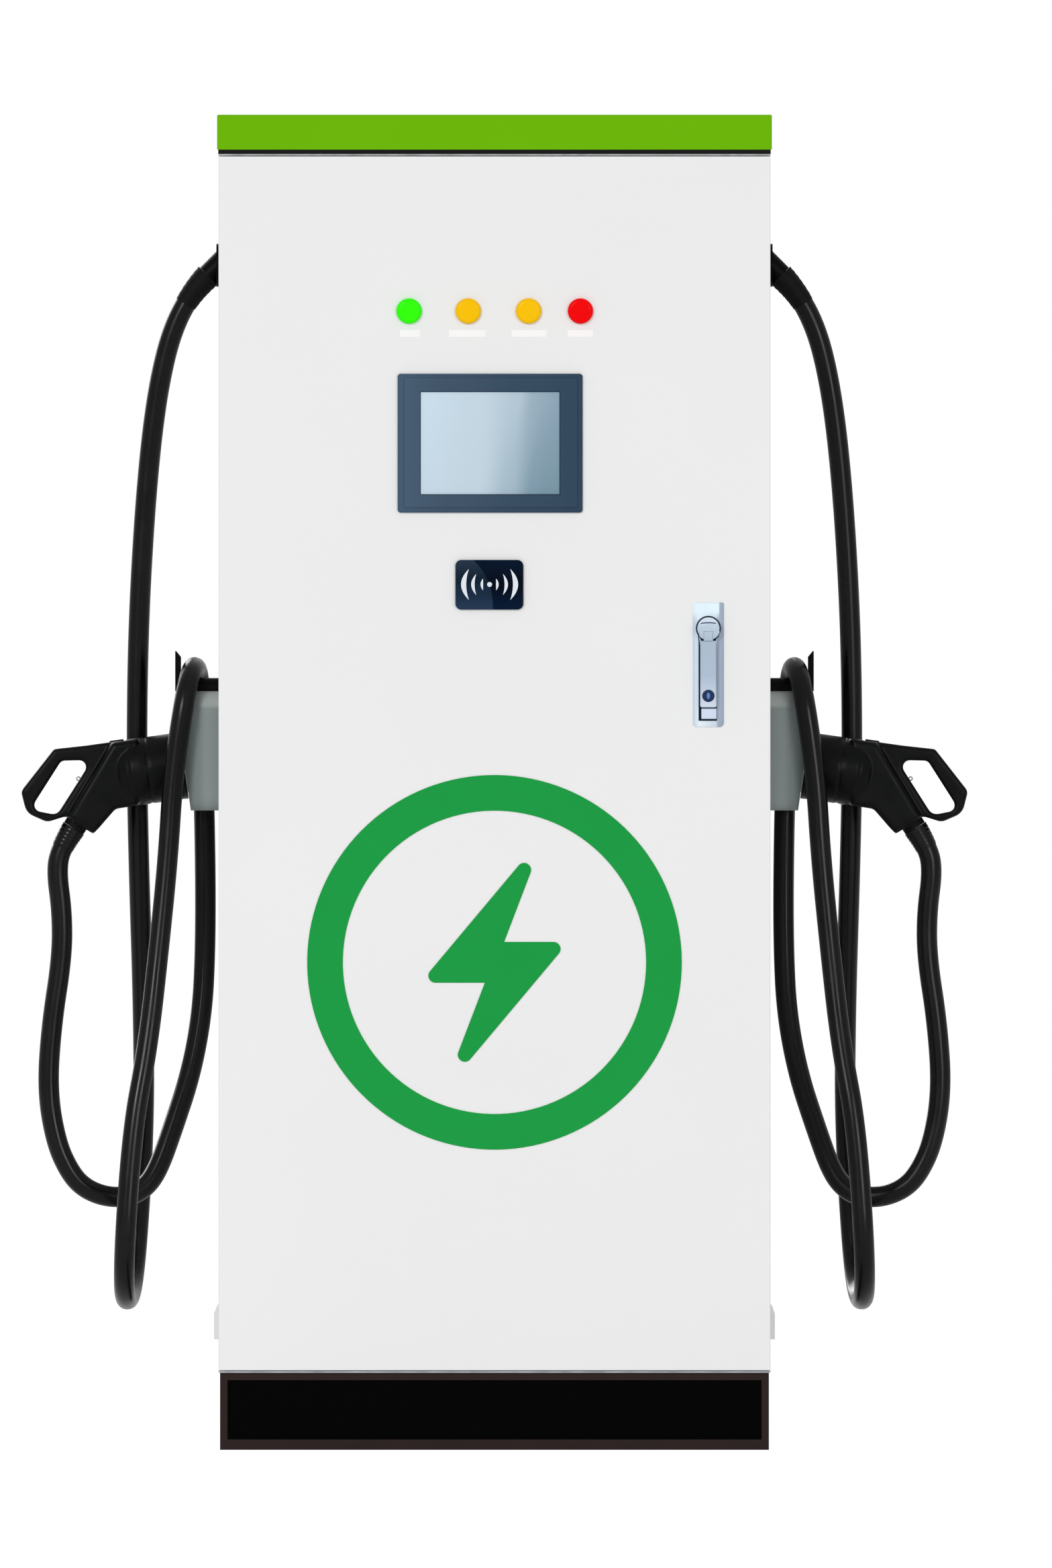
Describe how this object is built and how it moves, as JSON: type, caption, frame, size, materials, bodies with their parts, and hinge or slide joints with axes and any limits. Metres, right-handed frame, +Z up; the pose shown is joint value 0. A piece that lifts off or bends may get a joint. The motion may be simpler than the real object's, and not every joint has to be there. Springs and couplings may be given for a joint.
{
  "type": "ev charging post",
  "caption": "Upright floor-standing electric vehicle charger: cabinet with hinged front door on a plinth, a charging gun on a looped cable at each side.",
  "frame": {"origin": "on the floor, at the centre of the plinth's four anchor holes", "axes": "+Z up; +X to the right and +Y to the back as seen from the front, so the door faces -Y"},
  "size_m": [1.2782, 0.5174, 1.8],
  "materials": {
    "white_paint": "smooth satin powder coat",
    "green_paint": "satin powder coat",
    "plinth_paint": "fine textured dark powder coat",
    "black_panel": "matt black powder coat",
    "zinc_steel": "zinc plated",
    "black_rubber": "matt",
    "cable_rubber": "semi-gloss cable jacket",
    "gun_plastic": "fine textured moulded shell",
    "black_plastic": "matt moulded",
    "grey_plastic": "satin moulded",
    "button_plastic": "smooth",
    "module_case": "grey case",
    "bezel_plastic": "blue-grey frame",
    "screen_glass": "switched-off display behind glass",
    "reader_plastic": "dark glossy window",
    "green_lens": "lit lens",
    "amber_lens": "lit lens",
    "red_lens": "lit lens",
    "symbol_green": "applied film",
    "lock_chrome": "satin chromed casting",
    "lock_core": "dark cylinder core",
    "copper": "bare copper",
    "contact_metal": "silvered contacts",
    "board_green": "printed circuit board",
    "gasket_foam": "foamed gasket"
  },
  "bodies": {
    "cabinet": {"plinth_frame": "plinth_paint", "plinth_access_panels": "black_panel", "base_plate": "zinc_steel", "cable_entry_plate": "zinc_steel", "cabinet_frame": "zinc_steel", "left_side_panel": "white_paint", "right_side_panel": "white_paint", "rear_panel": "white_paint", "side_vent_hoods": "white_paint", "roof_panel": "zinc_steel", "roof_seal": "black_rubber", "roof_cap": "green_paint", "door_gasket": "gasket_foam", "module_shelves": "zinc_steel", "power_modules": "module_case", "mounting_plate": "zinc_steel", "main_breaker": "black_plastic", "dc_contactors": "black_plastic", "fuses": "grey_plastic", "busbars": "copper", "control_board": "board_green", "fan_frames": "black_plastic", "fan_guards": "zinc_steel", "door_pivot_pins": "zinc_steel", "cable_glands": "black_plastic", "holsters": "grey_plastic", "holster_sockets": "black_plastic", "cable_hooks": "black_plastic", "left_cable": "cable_rubber", "right_cable": "cable_rubber"},
    "door": {"door_panel": "white_paint", "door_stiffeners": "zinc_steel", "door_pivot_blocks": "zinc_steel", "hmi_bezel": "bezel_plastic", "hmi_screen": "screen_glass", "card_reader": "reader_plastic", "green_lamp": "green_lens", "amber_lamps": "amber_lens", "red_lamp": "red_lens", "charge_symbol": "symbol_green", "handle_plate": "lock_chrome"},
    "handle_spindle": {"handle_spindle": "lock_chrome"},
    "handle_lever": {"handle_lever": "lock_chrome"},
    "lock_cylinder": {"lock_cylinder": "lock_core"},
    "upper_lock_rod": {"upper_lock_rod": "zinc_steel"},
    "lower_lock_rod": {"lower_lock_rod": "zinc_steel"},
    "upper_fan_rotor": {"upper_fan_rotor": "black_plastic"},
    "lower_fan_rotor": {"lower_fan_rotor": "black_plastic"},
    "left_gun": {"left_gun_shell": "gun_plastic", "left_gun_nozzle": "black_plastic", "left_gun_contacts": "contact_metal", "left_gun_cable_boot": "black_rubber", "left_cable_tail": "cable_rubber"},
    "left_gun_button": {"left_gun_button": "button_plastic"},
    "right_gun": {"right_gun_shell": "gun_plastic", "right_gun_nozzle": "black_plastic", "right_gun_contacts": "contact_metal", "right_gun_cable_boot": "black_rubber", "right_cable_tail": "cable_rubber"},
    "right_gun_button": {"right_gun_button": "button_plastic"}
  },
  "joints": [
    {"name": "door_hinge", "type": "hinge", "parent": "cabinet", "child": "door", "pos_m": [-0.364, -0.231, 0.9], "axis": [0, 0, -1], "range_deg": [0, 100]},
    {"name": "handle_turn", "type": "hinge", "parent": "door", "child": "handle_spindle", "pos_m": [0.2884, -0.26, 1.1075], "axis": [0, 1, 0], "range_deg": [0, 90]},
    {"name": "handle_lift", "type": "hinge", "parent": "handle_spindle", "child": "handle_lever", "pos_m": [0.2884, -0.2595, 1.101], "axis": [-1, 0, 0], "range_deg": [0, 30]},
    {"name": "key_turn", "type": "hinge", "parent": "handle_lever", "child": "lock_cylinder", "pos_m": [0.2884, -0.26, 1.0165], "axis": [0, 1, 0], "range_deg": [0, 90]},
    {"name": "upper_rod_slide", "type": "slide", "parent": "door", "child": "upper_lock_rod", "axis": [0, 0, -1], "range_m": [0, 0.0251]},
    {"name": "lower_rod_slide", "type": "slide", "parent": "door", "child": "lower_lock_rod", "axis": [0, 0, 1], "range_m": [0, 0.0251]},
    {"name": "upper_fan_spin", "type": "hinge", "parent": "cabinet", "child": "upper_fan_rotor", "pos_m": [0, 0.22, 1.56], "axis": [0, 1, 0], "continuous": true},
    {"name": "lower_fan_spin", "type": "hinge", "parent": "cabinet", "child": "lower_fan_rotor", "pos_m": [0, 0.22, 1.37], "axis": [0, 1, 0], "continuous": true},
    {"name": "left_gun_pull", "type": "slide", "parent": "cabinet", "child": "left_gun", "axis": [-0.9903, 0, -0.1392], "range_m": [0, 0.09]},
    {"name": "left_button_press", "type": "slide", "parent": "left_gun", "child": "left_gun_button", "axis": [0.1392, 0, -0.9903], "range_m": [0, 0.003], "stiffness_N_per_m": 400, "springref_m": -0.002},
    {"name": "right_gun_pull", "type": "slide", "parent": "cabinet", "child": "right_gun", "axis": [0.9903, 0, -0.1392], "range_m": [0, 0.09]},
    {"name": "right_button_press", "type": "slide", "parent": "right_gun", "child": "right_gun_button", "axis": [-0.1392, 0, -0.9903], "range_m": [0, 0.003], "stiffness_N_per_m": 400, "springref_m": -0.002}
  ],
  "couplings": [
    {"joint": "upper_rod_slide", "follows": "handle_turn", "m_per_rad": 0.0159},
    {"joint": "lower_rod_slide", "follows": "handle_turn", "m_per_rad": 0.0159}
  ]
}
